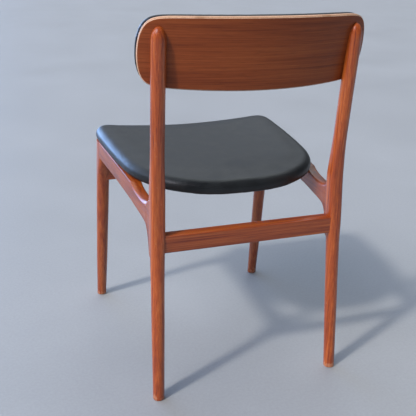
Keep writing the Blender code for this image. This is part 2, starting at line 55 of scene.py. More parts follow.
# ---- curves shared with the CAD source; along Y they count from the front feet ----
FRONT_FEET_Y = -0.24846
POST_FOOT = Vector((0.2013, 0.4875, 0.0))
POST_KNEE = Vector((0.1938, 0.4450, 0.4450))
POST_TIP = Vector((0.1969, 0.4655, 0.7592))
KNEE_SOFTNESS = 0.0022
POST_RADII = ((0.0, 0.0122), (0.2, 0.0136), (0.35, 0.0147), (0.43, 0.0149), (0.5, 0.0137),
              (0.6, 0.0140), (0.7, 0.0144), (0.76, 0.0144))
POST_SQUARENESS = ((0.0, 2.0), (0.29, 2.0), (0.38, 3.6), (0.44, 3.6), (0.54, 2.0), (0.76, 2.0))
POST_DOME = 0.028
LEG_FOOT = Vector((0.2184, 0.0, 0.0))
LEG_TOP = Vector((0.2131, 0.0480, 0.4352))
LEG_RADII = ((0.0, 0.0117), (0.15, 0.0140), (0.3, 0.0152), (0.44, 0.0150))
LEG_SQUARENESS = ((0.0, 2.0), (0.30, 2.0), (0.39, 3.6), (0.44, 3.6))
LEG_HEEL = ((0.0, 0.0), (0.345, 0.0), (0.395, 0.009), (0.44, 0.009))
FOOT_CHAMFER = 0.002

RAIL_THICKNESS = 0.024
RAIL_SET_IN = 0.0006
RAIL_SCOOP = ((0.320, 0.4250), (0.335, 0.4190), (0.355, 0.4145), (0.383, 0.4125), (0.407, 0.4142),
              (0.424, 0.4200), (0.434, 0.4300), (0.4455, 0.4350))
RAIL_TAIL = ((0.3200, 0.3835), (0.4040, 0.3720), (0.4230, 0.3650), (0.4320, 0.3540), (0.4370, 0.3390),
             (0.4405, 0.3230), (0.4435, 0.3060), (0.4560, 0.3000))
RAIL_UNDERSIDE = ((0.0530, 0.3965), (0.1200, 0.3950), (0.2100, 0.3915), (0.3200, 0.3835))
RAIL_START_Y = 0.060
RAIL_REFERENCE_X = 0.198
SEAT_GAP = 0.0014

SCREW_BORE = 0.0045       # radius of the holes that the seat screws' heads sit in
BORE_REACH = 0.03         # below a head, past the rail's underside
BORE_OVER_HEAD = 0.0006

SEAT_OUTLINE = ((0.0, 0.0000), (0.0900, -0.0012), (0.1650, -0.0012), (0.2030, 0.0040), (0.2235, 0.0220),
                (0.2290, 0.0560), (0.2260, 0.1500), (0.2175, 0.2550), (0.2065, 0.3100),
                (0.1860, 0.3520), (0.1535, 0.3875), (0.1060, 0.4170), (0.0540, 0.4310), (0.0, 0.4340))
SEAT_THICKNESS = 0.030
SEAT_TOP_RADIUS = 0.018
SEAT_LOWER_RADIUS = 0.006
SEAT_FRONT_Z = 0.4440
SEAT_FALL = 0.0256
SEAT_DISH = 0.0105
SEAT_DISH_FADE = 0.013
SEAT_HALF_WIDTH = 0.205

BACK_HALF_WIDTH = 0.2322
BACK_MIDDLE_Z = 0.7120
BACK_RISE = 0.0655
BACK_DROP = 0.0715
BACK_TOP_SHARPNESS = 18
BACK_BOTTOM_SHARPNESS = 20
BACK_TOP_CLOSING = 0.03
BACK_BOTTOM_CLOSING = 0.118
BACK_RADIUS = 0.500
BACK_REAR_Y = 0.4976
BACK_LEAN = 0.175
PANEL_THICKNESS = 0.010
PANEL_EDGE = 0.0038
PAD_GROWTH = (0.0058, -0.0012, 0.0010)
PAD_THICKNESS = 0.022
PAD_FRONT_RADIUS = 0.013
PAD_REAR_RADIUS = 0.005
PAD_STAND_OFF = 0.0020
VENEER_STEPS = 1          # of the rounded edge's facets, still covered by the veneer

DUST_INSET = 0.036
DUST_GAP = 0.0016
DUST_CLOTH = 0.0006
DUST_SAG = 0.0035
DUST_PUCKER = 0.0004
HEM_LAYERS = 2.2          # of cloth, counted loosely folded
HEM_START = 0.96          # as a share of the way from the cover's middle to its edge
STAPLES = 30
STAPLE_SIZE = (0.0100, 0.0012, 0.0006)

# ---- looks ----
SECTION_POINTS = 56
RING_STEP = 0.012         # between the rings of a turned leg


# ---- curves and sections ----

def interpolate(table, position):
    """Read a table of (position, value) pairs, easing smoothly from each pair to the next."""
    if position <= table[0][0]:
        return table[0][1]
    for (start, low), (end, high) in zip(table, table[1:]):
        if position <= end:
            t = (position - start) / (end - start)
            return low + (high - low) * t * t * (3 - 2 * t)
    return table[-1][1]


def smooth_curve(points, steps):
    """Points on a Catmull-Rom curve through the given ones, with the same number in each span."""
    padded = [2 * points[0] - points[1], *points, 2 * points[-1] - points[-2]]
    curve = []
    for a, b, c, d in zip(padded, padded[1:], padded[2:], padded[3:]):
        for step in range(steps):
            t = step / steps
            curve.append(0.5 * (2 * b + (c - a) * t + (2 * a - 5 * b + 4 * c - d) * t * t
                                + (3 * b - a - 3 * c + d) * t ** 3))
    curve.append(points[-1].copy())
    return curve


def even_points(curve, count):
    """The curve's points, spaced evenly along its length."""
    lengths = [0.0]
    for a, b in zip(curve, curve[1:]):
        lengths.append(lengths[-1] + (b - a).length)
    points = []
    for i in range(count):
        goal = lengths[-1] * i / (count - 1)
        k = max(j for j in range(len(lengths) - 1) if lengths[j] <= goal + 1e-12)
        t = (goal - lengths[k]) / max(lengths[k + 1] - lengths[k], 1e-12)
        points.append(curve[k].lerp(curve[k + 1], min(t, 1.0)))
    return points


def row(point):
    """A point given from the front feet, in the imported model's frame."""
    return Vector((point[0], point[1] + FRONT_FEET_Y, point[2]))


def add_piece(name, mesh, body="root", smooth=True):
    obj = bpy.data.objects.new(name, mesh)
    bpy.context.scene.collection.objects.link(obj)
    if smooth:
        mesh.shade_smooth()
    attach(obj, body)
    return obj


def loft(name, rings, caps=True):
    """A mesh through rings of equally many points, with flat caps at its first and last ring."""
    bm = bmesh.new()
    rows = [[bm.verts.new(row(point)) for point in ring] for ring in rings]
    count = len(rows[0])
    for lower, upper in zip(rows, rows[1:]):
        for i in range(count):
            j = (i + 1) % count
            bm.faces.new((lower[i], lower[j], upper[j], upper[i]))
    if caps:
        bm.faces.new(list(reversed(rows[0])))
        bm.faces.new(rows[-1])
    bmesh.ops.recalc_face_normals(bm, faces=bm.faces)
    mesh = bpy.data.meshes.new(name)
    bm.to_mesh(mesh)
    bm.free()
    return mesh


def crease(mesh, angle=math.radians(38)):
    """Shade smooth, but keep the edges that turn more sharply than an angle."""
    mesh.shade_smooth()
    bm = bmesh.new()
    bm.from_mesh(mesh)
    for edge in bm.edges:
        if len(edge.link_faces) == 2 and edge.calc_face_angle() > angle:
            edge.smooth = False
    bm.to_mesh(mesh)
    bm.free()


def bore(obj, x, y, low, high, radius):
    """Drill an upright hole into a piece."""
    bm = bmesh.new()
    bmesh.ops.create_cone(bm, cap_ends=True, segments=28, radius1=radius, radius2=radius, depth=high - low)
    mesh = bpy.data.meshes.new("bore")
    bm.to_mesh(mesh)
    bm.free()
    drill = bpy.data.objects.new("bore", mesh)
    bpy.context.scene.collection.objects.link(drill)
    drill.location = (x, y, (low + high) / 2)
    cut = obj.modifiers.new("bore", "BOOLEAN")
    cut.operation = "DIFFERENCE"
    cut.solver = "EXACT"
    cut.object = drill
    depsgraph = bpy.context.evaluated_depsgraph_get()
    obj.data = bpy.data.meshes.new_from_object(obj.evaluated_get(depsgraph))
    obj.modifiers.clear()
    bpy.data.objects.remove(drill)
    bpy.data.meshes.remove(mesh)


def squircle(centre, radius, squareness, points=SECTION_POINTS):
    """A level section that is a circle at squareness 2 and grows squarer above it."""
    ring = []
    for i in range(points):
        angle = 2 * math.pi * i / points
        x, y = math.cos(angle), math.sin(angle)
        reach = radius / (abs(x) ** squareness + abs(y) ** squareness) ** (1 / squareness)
        ring.append(Vector((centre.x + x * reach, centre.y + y * reach, centre.z)))
    return ring


def post_centre(z):
    lower = POST_FOOT.lerp(POST_KNEE, z / POST_KNEE.z)
    upper = POST_KNEE.lerp(POST_TIP, (z - POST_KNEE.z) / (POST_TIP.z - POST_KNEE.z))
    blend = math.sqrt(((lower.y - upper.y) / 2) ** 2 + KNEE_SOFTNESS ** 2)
    x = lower.x if z < POST_KNEE.z else upper.x
    return Vector((x, (lower.y + upper.y) / 2 + blend, z))


def leg_centre(z):
    return LEG_FOOT.lerp(LEG_TOP, z / LEG_TOP.z)


def seat_mid_z(x, y):
    rise = (SEAT_DISH - SEAT_DISH_FADE * y) * (x / SEAT_HALF_WIDTH) ** 2
    return SEAT_FRONT_Z - SEAT_FALL * y + rise


def seat_under_z(x, y):
    return seat_mid_z(x, y) - SEAT_THICKNESS / 2


def seat_place(x, y, height):
    return Vector((x, y, seat_mid_z(x, y) + height))


def back_place(x, z, depth):
    """A point on the leaning, curved back; depth counts forward from the panel's rear face."""
    y = BACK_REAR_Y + BACK_LEAN * (z - BACK_MIDDLE_Z) - BACK_RADIUS + math.sqrt(BACK_RADIUS ** 2 - x * x)
    rearward = Vector((x / BACK_RADIUS, math.sqrt(1 - (x / BACK_RADIUS) ** 2), -BACK_LEAN)).normalized()
    return Vector((x, y, z)) - rearward * depth


def pad_place(x, z, height):
    return back_place(x, z, PANEL_THICKNESS + PAD_STAND_OFF + PAD_THICKNESS / 2 + height)


def mirrored_outline(half):
    return half + [Vector((-p.x, p.y)) for p in reversed(half[1:-1])]


def seat_outline():
    return mirrored_outline(smooth_curve([Vector(p) for p in SEAT_OUTLINE], 6))


def back_outline(ends=0.0, top=0.0, bottom=0.0):
    """The panel's outline, or one that stands out from it by the given amounts."""
    turns = [math.radians(90 * (1 - (1 - i / 30) ** 1.6)) for i in range(30)]
    half_width = BACK_HALF_WIDTH + ends
    lower = []
    upper = []
    for angle in turns:
        reach = math.sin(angle)
        drop = (BACK_DROP + bottom) * math.sqrt(1 - reach ** BACK_BOTTOM_SHARPNESS)
        rise = (BACK_RISE + top) * math.sqrt(1 - reach ** BACK_TOP_SHARPNESS)
        drop *= 1 - BACK_BOTTOM_CLOSING * reach ** 2
        rise *= 1 - BACK_TOP_CLOSING * reach ** 2
        lower.append(Vector((half_width * reach, BACK_MIDDLE_Z - drop)))
        upper.append(Vector((half_width * reach, BACK_MIDDLE_Z + rise)))
    end = Vector((half_width, BACK_MIDDLE_Z))
    return mirrored_outline(lower + [end] + list(reversed(upper)))


def inset(outline, distance):
    """Move a closed outline inwards by a distance, or outwards if it is negative."""
    count = len(outline)
    area = sum(a.x * b.y - b.x * a.y for a, b in zip(outline, outline[1:] + outline[:1]))
    turn = 1 if area > 0 else -1
    moved = []
    for i, point in enumerate(outline):
        before = (point - outline[i - 1]).normalized()
        after = (outline[(i + 1) % count] - point).normalized()
        along = (before + after).normalized()
        inward = Vector((-along.y, along.x)) * turn
        moved.append(point + inward * distance / max(along.dot(after), 0.5))
    return moved


def fan_rings(outline, by, height, place, scales):
    """Rings that close in on the middle of a face, so that the face follows its curved surface."""
    edge = inset(outline, by)
    centre = sum(edge, Vector((0, 0))) / len(edge)
    return [[place(*(centre + (p - centre) * scale), height) for p in edge] for scale in scales]


def slab_rings(outline, profile, place, scales=(0.97, 0.9, 0.8, 0.66, 0.5, 0.32, 0.15, 0.02)):
    """Rings of a slab whose edge runs through the profile's (inset, height) pairs."""
    lower = list(reversed(fan_rings(outline, *profile[0], place, scales)))
    edge = [[place(p.x, p.y, height) for p in inset(outline, by)] for by, height in profile]
    return lower + edge + fan_rings(outline, *profile[-1], place, scales)


# ---- material graphs ----

class Nodes:
    """A node tree, with short calls for the nodes used here."""

    def __init__(self, tree):
        self.tree = tree

    def plug(self, socket, value):
        if isinstance(value, bpy.types.NodeSocket):
            self.tree.links.new(value, socket)
        else:
            socket.default_value = value

    def node(self, kind, **settings):
        made = self.tree.nodes.new(kind)
        for key, value in settings.items():
            setattr(made, key, value)
        return made

    def place(self, scale, offset=(0, 0, 0)):
        """Object coordinates, scaled along each axis and moved."""
        mapping = self.node("ShaderNodeMapping")
        mapping.inputs["Scale"].default_value = scale
        mapping.inputs["Location"].default_value = offset
        self.plug(mapping.inputs["Vector"], self.node("ShaderNodeTexCoord").outputs["Object"])
        return mapping.outputs["Vector"]

    def noise(self, vector, scale=1.0, detail=2.0, roughness=0.5, distortion=0.0):
        made = self.node("ShaderNodeTexNoise")
        self.plug(made.inputs["Vector"], vector)
        made.inputs["Scale"].default_value = scale
        made.inputs["Detail"].default_value = detail
        made.inputs["Roughness"].default_value = roughness
        made.inputs["Distortion"].default_value = distortion
        return made.outputs["Fac"]

    def cells(self, vector, scale=1.0, feature="F1"):
        made = self.node("ShaderNodeTexVoronoi", feature=feature)
        self.plug(made.inputs["Vector"], vector)
        made.inputs["Scale"].default_value = scale
        return made.outputs["Distance"]

    def math(self, operation, a, b=0.0, clamp=False):
        made = self.node("ShaderNodeMath", operation=operation, use_clamp=clamp)
        self.plug(made.inputs[0], a)
        self.plug(made.inputs[1], b)
        return made.outputs[0]

    def spread(self, value, from_low, from_high, to_low=0.0, to_high=1.0):
        made = self.node("ShaderNodeMapRange", interpolation_type="SMOOTHSTEP")
        self.plug(made.inputs["Value"], value)
        made.inputs["From Min"].default_value = from_low
        made.inputs["From Max"].default_value = from_high
        made.inputs["To Min"].default_value = to_low
        made.inputs["To Max"].default_value = to_high
        return made.outputs["Result"]

    def ramp(self, value, stops):
        made = self.node("ShaderNodeValToRGB")
        self.plug(made.inputs["Fac"], value)
        elements = made.color_ramp.elements
        while len(elements) < len(stops):
            elements.new(0.5)
        for element, (position, colour) in zip(elements, stops):
            element.position = position
            element.color = (*colour, 1.0)
        return made.outputs["Color"]

    def mix(self, share, a, b, blend="MIX"):
        made = self.node("ShaderNodeMix", data_type="RGBA", blend_type=blend)
        self.plug(made.inputs[0], share)
        self.plug(made.inputs[6], a)
        self.plug(made.inputs[7], b)
        return made.outputs[2]

    def painted_shade_facing_down(self):
        """How far the surface faces the floor, where painted shade darkens it."""
        split = self.node("ShaderNodeSeparateXYZ")
        self.plug(split.inputs[0], self.node("ShaderNodeNewGeometry").outputs["Normal"])
        return self.spread(split.outputs[2], -0.95, -0.35, 0.75, 0.0)

    def along(self, axis):
        """One coordinate of the point, in metres."""
        split = self.node("ShaderNodeSeparateXYZ")
        self.plug(split.inputs[0], self.node("ShaderNodeTexCoord").outputs["Object"])
        return split.outputs[axis]

    def bump(self, height, distance, strength=1.0, normal=None):
        made = self.node("ShaderNodeBump")
        self.plug(made.inputs["Height"], height)
        made.inputs["Distance"].default_value = distance
        made.inputs["Strength"].default_value = strength
        if normal:
            self.plug(made.inputs["Normal"], normal)
        return made.outputs["Normal"]


class Graph(Nodes):
    """A material of procedural nodes round one Principled BSDF."""

    def __init__(self, name, **values):
        self.material = bpy.data.materials.new(name)
        self.material.use_nodes = True
        super().__init__(self.material.node_tree)
        self.shader = self.tree.nodes["Principled BSDF"]
        for socket, value in values.items():
            self.shader.inputs[socket.replace("_", " ")].default_value = value

    def finish(self, colour, roughness, normal):
        self.plug(self.shader.inputs["Base Color"], colour)
        self.plug(self.shader.inputs["Roughness"], roughness)
        self.plug(self.shader.inputs["Normal"], normal)
        return self.material


def grain_scale(axis, across, along, sheet=False):
    """Noise scales for grain along one axis; a sheet's grain follows its bend, so depth doesn't change it."""
    scale = [along if letter == axis else across for letter in "XYZ"]
    if sheet:
        scale[1] = 0.0
    return tuple(scale)


def wood(name, axis, seed, stops, figure=1.0, gloss=0.75, streak=1.0, painted_shade_by=1.0, foot_wear=False,
         sheet=False):
    """Oiled wood whose grain runs along one axis of the frame."""
    g = Graph(name, Specular_IOR_Level=0.20, Coat_Weight=gloss, Coat_Roughness=0.22,
              Coat_IOR=1.65)
    # A factor below 1 makes a darker copy of the same wood: painted shade.
    stops = [(at, [part * painted_shade_by for part in colour]) for at, colour in stops]
    offset = (seed * 1.7, seed * -2.3, seed * 0.9)
    tone = g.noise(g.place(grain_scale(axis, 60, 3.2, sheet), offset), detail=3)
    contour = g.noise(g.place(grain_scale(axis, 22, 0.7, sheet), offset), detail=2, roughness=0.4)
    bands = g.math("MULTIPLY_ADD", g.math("SINE", g.math("MULTIPLY", contour, 74.0)), 0.5)
    bands.node.inputs[2].default_value = 0.5
    fibre = g.noise(g.place(grain_scale(axis, 420, 7 * streak, sheet), offset), detail=4, roughness=0.62)
    pores = g.noise(g.place(grain_scale(axis, 1250, 46 * streak, sheet), offset), detail=2)
    amount = g.math("MULTIPLY_ADD", bands, 0.09 * figure)
    g.plug(amount.node.inputs[2], g.math("MULTIPLY", tone, 0.36))
    amount = g.math("ADD", amount, g.math("MULTIPLY", fibre, 0.54))
    colour = g.ramp(amount, stops)
    pore_mask = g.spread(pores, 0.56, 0.70)
    colour = g.mix(g.math("MULTIPLY", pore_mask, 0.35), colour, (0.075, 0.018, 0.005, 1), "MIX")
    if foot_wear:
        rubbed = g.noise(g.place((170, 170, 90), offset), detail=4)
        near_floor = g.spread(g.along(2), 0.0, 0.026, 0.30, 0.0)
        worn = g.spread(g.math("ADD", rubbed, near_floor), 0.66, 0.84, 0.0, 0.65)
        colour = g.mix(worn, colour, (0.60, 0.27, 0.14, 1))
    # Painted shade: the wood is darker where it faces the floor.
    colour = g.mix(g.painted_shade_facing_down(), colour, (0.040, 0.012, 0.005, 1))
    roughness = g.spread(fibre, 0.3, 0.75, 0.36, 0.50)
    height = g.math("SUBTRACT", g.math("MULTIPLY", fibre, 0.5), pore_mask)
    return g.finish(colour, roughness, g.bump(height, 0.00014, 0.7))


TEAK_STOPS = ((0.36, (0.240, 0.034, 0.005)), (0.44, (0.370, 0.062, 0.009)), (0.53, (0.470, 0.092, 0.013)),
              (0.64, (0.590, 0.145, 0.026)))
VENEER_STOPS = ((0.32, (0.190, 0.038, 0.009)), (0.45, (0.275, 0.060, 0.014)), (0.55, (0.330, 0.080, 0.019)),
                (0.70, (0.410, 0.112, 0.028)))
BEECH_STOPS = ((0.3, (0.42, 0.25, 0.13)), (0.5, (0.56, 0.37, 0.21)), (0.6, (0.64, 0.45, 0.27)),
               (0.75, (0.72, 0.54, 0.35)))


def ply_edge(name):
    """Bare edge of moulded ply: pale layers across the grain, read from the piece's depth values."""
    g = Graph(name, Specular_IOR_Level=0.45, Coat_Weight=0.1, Coat_Roughness=0.3)
    depth = g.node("ShaderNodeAttribute", attribute_name="depth").outputs["Fac"]
    wave = g.math("SINE", g.math("MULTIPLY", depth, 5 * 2 * math.pi))
    layers = g.spread(wave, -0.5, 0.5)
    fibre = g.noise(g.place((420, 420, 420)), detail=3)
    blotch = g.noise(g.place((35, 35, 60)), detail=2)
    pale = g.ramp(fibre, ((0.3, (0.66, 0.38, 0.24)), (0.7, (0.86, 0.58, 0.40))))
    brown = g.ramp(fibre, ((0.3, (0.40, 0.17, 0.08)), (0.7, (0.60, 0.31, 0.17))))
    colour = g.mix(layers, brown, pale)
    colour = g.mix(g.spread(blotch, 0.55, 0.75, 0.0, 0.5), colour, (0.30, 0.13, 0.05, 1))
    # Painted shade: the ply edge is darker where it faces the floor.
    colour = g.mix(g.painted_shade_facing_down(), colour, (0.040, 0.012, 0.005, 1))
    return g.finish(colour, g.spread(fibre, 0.3, 0.7, 0.42, 0.6), g.bump(fibre, 0.0002, 0.6))


def vinyl(name, shine):
    """Black upholstery vinyl with a fine pebbled grain."""
    g = Graph(name, Specular_IOR_Level=shine)
    place = g.place((1, 1, 1))
    pebbles = g.cells(place, 820)
    creases = g.noise(place, 420, detail=4, roughness=0.6)
    mottle = g.noise(place, 26, detail=3)
    height = g.math("ADD", g.math("MULTIPLY", pebbles, 0.9), g.math("MULTIPLY", creases, 0.8))
    colour = g.ramp(mottle, ((0.32, (0.008, 0.009, 0.010)), (0.68, (0.014, 0.016, 0.018))))
    dust = g.spread(g.math("MULTIPLY", creases, mottle), 0.30, 0.48, 0.0, 0.07)
    colour = g.mix(dust, colour, (0.085, 0.090, 0.095, 1))
    roughness = g.spread(g.math("ADD", creases, mottle), 0.7, 1.3, 0.33, 0.45)
    return g.finish(colour, roughness, g.bump(height, 0.00026, 0.5))


def cambric(name):
    """Thin non-woven cloth, black, with crossing threads."""
    g = Graph(name, Sheen_Weight=0.25, Sheen_Roughness=0.5)
    across = g.noise(g.place((1500, 60, 900)), detail=2)
    along = g.noise(g.place((60, 1500, 900)), detail=2)
    threads = g.math("MAXIMUM", across, along)
    dust = g.noise(g.place((30, 30, 30)), detail=3)
    colour = g.ramp(threads, ((0.4, (0.008, 0.008, 0.009)), (0.75, (0.034, 0.034, 0.037))))
    colour = g.mix(g.spread(dust, 0.52, 0.75, 0.0, 0.3), colour, (0.10, 0.095, 0.085, 1))
    return g.finish(colour, g.spread(threads, 0.4, 0.7, 0.95, 0.8), g.bump(threads, 0.0003))


def zinc(name):
    g = Graph(name, Metallic=1.0)
    place = g.place((1, 1, 1))
    blotch = g.noise(place, 260, detail=3)
    scratch = g.noise(g.place((2600, 300, 2600)), detail=2)
    yellowed, plain, bright = (0.36, 0.33, 0.26), (0.60, 0.58, 0.52), (0.72, 0.71, 0.68)
    colour = g.ramp(blotch, ((0.3, yellowed), (0.55, plain), (0.8, bright)))
    return g.finish(colour, g.spread(scratch, 0.3, 0.7, 0.28, 0.5), g.bump(scratch, 0.0001, 0.4))


# ---- turned and shaped wood ----

def panel_rear_y(x, z):
    return back_place(x, z, 0.0).y


def post_mesh(name, side):
    """A rear post with its domed tip, cut flat where the back panel lies against it."""
    shoulder = BACK_MIDDLE_Z - BACK_DROP + 0.004
    top = POST_TIP.z - POST_DOME
    count = int(top / RING_STEP)
    heights = [0.0, FOOT_CHAMFER * 0.4, FOOT_CHAMFER, 2 * FOOT_CHAMFER]
    heights += [top * i / count for i in range(1, count)]
    heights = sorted(heights + [shoulder - 0.0006, shoulder])
    rings = []
    for z in heights:
        shrink = FOOT_CHAMFER * (1 - math.sqrt(max(0, 1 - (1 - min(z / FOOT_CHAMFER, 1)) ** 2)))
        rings.append(squircle(post_centre(z), interpolate(POST_RADII, z) - shrink,
                              interpolate(POST_SQUARENESS, z)))
    for angle in (0, 8, 16, 24, 32, 40, 48, 56, 64, 72, 79, 85):
        z = top + POST_DOME * math.sin(math.radians(angle))
        radius = interpolate(POST_RADII, top) * math.cos(math.radians(angle))
        rings.append(squircle(post_centre(z), radius, 2.0))
    for ring in rings:
        for point in ring:
            if point.z >= shoulder:
                # Known flaw: near the tip the panel reaches behind the post's inner edge, and there
                # a ring's front and rear points land on the same spot. The mesh folds flat over a
                # strip 0.1 to 0.6 mm wide.
                point.y = max(point.y, panel_rear_y(point.x, point.z) + 0.0003)
            point.x *= side
    return loft(name, rings)


def leg_mesh(name, side):
    """A front leg, whose squared top grows rearward into a heel for the side rail."""
    count = int(LEG_TOP.z / RING_STEP)
    heights = [0.0, FOOT_CHAMFER * 0.4, FOOT_CHAMFER, 2 * FOOT_CHAMFER]
    heights += [LEG_TOP.z * i / count for i in range(1, count + 1)]
    rings = []
    for z in heights:
        shrink = FOOT_CHAMFER * (1 - math.sqrt(max(0, 1 - (1 - min(z / FOOT_CHAMFER, 1)) ** 2)))
        centre = leg_centre(z)
        radius = interpolate(LEG_RADII, z) - shrink
        stretch = 1 + interpolate(LEG_HEEL, z) / radius
        ring = squircle(centre, radius, interpolate(LEG_SQUARENESS, z))
        for point in ring:
            if point.y > centre.y:
                point.y = centre.y + (point.y - centre.y) * stretch
            point.x *= side
            if z == LEG_TOP.z:
                point.z = seat_under_z(point.x, point.y) - SEAT_GAP
        rings.append(ring)
    return loft(name, rings)


def rail_plane(side):
    """A matrix that stands the rail's sections up: local X runs rearward, Y up and Z outward."""
    front = leg_centre(0.41)
    rear = post_centre(0.41)
    front_face = front.x + interpolate(LEG_RADII, 0.41)
    rear_face = rear.x + interpolate(POST_RADII, 0.41)
    angle = math.atan2(rear_face - front_face, rear.y - front.y)
    along = Vector((math.sin(angle), math.cos(angle), 0.0))
    outward = Vector((along.y, -along.x, 0.0))
    set_in = RAIL_THICKNESS / 2 + RAIL_SET_IN
    origin = Vector((front_face, front.y, 0.0)) - along * front.y - outward * set_in
    matrix = Matrix((along, Vector((0, 0, 1)), outward)).transposed().to_4x4()
    matrix.translation = origin
    return Matrix.Diagonal((side, 1, 1, 1)) @ matrix


def rounded_section(top, bottom, half, radii, corner_points=6):
    """A rounded rectangle; the radii run from the outer top edge round to the inner top edge."""
    down = (bottom - top).normalized()
    corners = ((top, down, 1, radii[0]), (bottom, -down, 1, radii[1]), (bottom, -down, -1, radii[2]),
               (top, down, -1, radii[3]))
    ring = []
    for number, (end, into, sign, radius) in enumerate(corners):
        arc = []
        for i in range(corner_points + 1):
            turn = math.radians(90 * i / corner_points)
            depth = radius * (1 - math.sin(turn))
            across = sign * (half - radius * (1 - math.cos(turn)))
            arc.append((end + into * depth, across))
        if number in (0, 2):
            arc.reverse()
        ring += arc
    return ring


def rail_mesh(name, side):
    """A side rail as sections from its top edge to its underside; they tilt into the tail at the post."""
    straight_end = RAIL_SCOOP[0][0]
    count = 26
    ys = [RAIL_START_Y + (straight_end - RAIL_START_Y) * i / count for i in range(count)]
    under = smooth_curve([Vector(p) for p in RAIL_UNDERSIDE], 8)
    tops = []
    bottoms = []
    for y in ys:
        start = Vector((y, seat_under_z(RAIL_REFERENCE_X, y) - SEAT_GAP))
        flat = interpolate(((0.27, 0.0), (straight_end, 1.0)), y)
        start.y += (RAIL_SCOOP[0][1] - start.y) * flat
        k = max(i for i, p in enumerate(under[:-1]) if p.x <= y)
        share = (y - under[k].x) / (under[k + 1].x - under[k].x)
        tops.append(start)
        bottoms.append(under[k].lerp(under[k + 1], share))
    tops += even_points(smooth_curve([Vector(p) for p in RAIL_SCOOP], 6), 34)
    bottoms += even_points(smooth_curve([Vector(p) for p in RAIL_TAIL], 6), 34)
    plane = rail_plane(side)
    rings = []
    for top, bottom in zip(tops, bottoms):
        upper = interpolate(((0.29, 0.0012), (0.35, 0.0042), (0.42, 0.0095)), top.x)
        lower = interpolate(((0.30, 0.0035), (0.42, 0.0065)), top.x)
        section = rounded_section(top, bottom, RAIL_THICKNESS / 2, (upper, lower, lower, upper))
        slant = interpolate(((0.290, 1.0), (0.325, 0.0)), top.x)
        ring = []
        for p, across in section:
            point = plane @ Vector((p.x, p.y, across))
            share = slant * max(0.0, 1 - (top - p).length / (top - bottom).length)
            point.z += share * (seat_mid_z(point.x, p.x) - seat_mid_z(RAIL_REFERENCE_X, p.x))
            ring.append(point)
        rings.append(ring)
    return loft(name, rings)


def stretcher_mesh(name, node, edge=0.002):
    """A bar across the chair with rounded long edges, as long and as thick as its CAD node."""
    low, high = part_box(node)
    centre = (low + high) / 2
    half_depth = (high.y - low.y) / 2
    top = Vector((centre.y - FRONT_FEET_Y, high.z))
    bottom = Vector((centre.y - FRONT_FEET_Y, low.z))
    section = rounded_section(top, bottom, half_depth, (edge,) * 4)
    count = 24
    rings = []
    for i in range(count + 1):
        x = low.x + (high.x - low.x) * i / count
        rings.append([Vector((x, p.x + across, p.y)) for p, across in section])
    return loft(name, rings)


def add_wood():
    for number, (label, side) in enumerate(SIDES.items()):
        post = add_piece("post_" + label, post_mesh("post_" + label, side))
        post.data.materials.append(wood("teak_post_" + label, "Z", 3 + number, TEAK_STOPS, foot_wear=True))
        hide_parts("rear_post_" + label)
        leg = add_piece("leg_" + label, leg_mesh("leg_" + label, side))
        # Painted shade: the legs get a darker copy of the teak.
        leg.data.materials.append(wood("teak_leg_" + label, "Z", 7 + number, TEAK_STOPS, painted_shade_by=0.84,
                                       foot_wear=True))
        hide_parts("front_leg_" + label)
        rail = add_piece("rail_" + label, rail_mesh("rail_" + label, side))
        # Painted shade: the rails get a darker copy of the teak.
        rail.data.materials.append(wood("teak_rail_" + label, "Y", 11 + number, TEAK_STOPS, gloss=0.5,
                                        painted_shade_by=0.70))
        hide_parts("side_rail_" + label)
        for place in ("front", "rear"):
            low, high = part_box(f"seat_screw_{place}_{label}")
            x, y = (low.x + high.x) / 2, (low.y + high.y) / 2
            bore(rail, x, y, low.z - BORE_REACH, low.z + BORE_OVER_HEAD, SCREW_BORE)
        for obj in (post, leg, rail):
            crease(obj.data)
    for number, place in enumerate(("front", "rear")):
        node = place + "_stretcher"
        bar = add_piece("bar_" + place, stretcher_mesh("bar_" + place, node))
        # Painted shade: the bars get a darker copy of the teak.
        bar.data.materials.append(wood("teak_bar_" + place, "X", 15 + number, TEAK_STOPS, painted_shade_by=0.8))
        crease(bar.data)
        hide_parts(node)


# ---- back panel ----

def add_panel():
    """The moulded panel: veneer on both faces and a rounded edge that shows its layers."""
    arc = [math.radians(a) for a in (0, 18, 36, 54, 72, 90)]
    rear = [(PANEL_EDGE * (1 - math.sin(a)), PANEL_EDGE * (1 - math.cos(a))) for a in arc]
    front = [(by, PANEL_THICKNESS - depth) for by, depth in reversed(rear)]
    profile = [(PANEL_EDGE + 0.0015, 0.0)] + rear + front + [(PANEL_EDGE + 0.0015, PANEL_THICKNESS)]
    outline = back_outline()
    mesh = loft("back_board", slab_rings(outline, profile, back_place))
    obj = add_piece("back_board", mesh)
    mesh.materials.append(wood("veneer", "X", 21, VENEER_STOPS, figure=0.3, gloss=0.15, streak=0.9,
                               sheet=True))
    mesh.materials.append(ply_edge("ply_edge"))
    depth = mesh.attributes.new("depth", "FLOAT", "POINT")
    count = len(outline)
    face_rings = 8
    first = face_rings + 1
    for ring in range(len(mesh.vertices) // count):
        step = min(max(ring - face_rings, 0), len(profile) - 1)
        for i in range(count):
            depth.data[ring * count + i].value = profile[step][1] / PANEL_THICKNESS
    for polygon in mesh.polygons:
        ring = polygon.index // count
        if first + VENEER_STEPS <= ring < first + len(rear) + len(front) - 1 - VENEER_STEPS:
            polygon.material_index = 1
    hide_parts("back_panel")
    return obj


# ---- upholstery ----

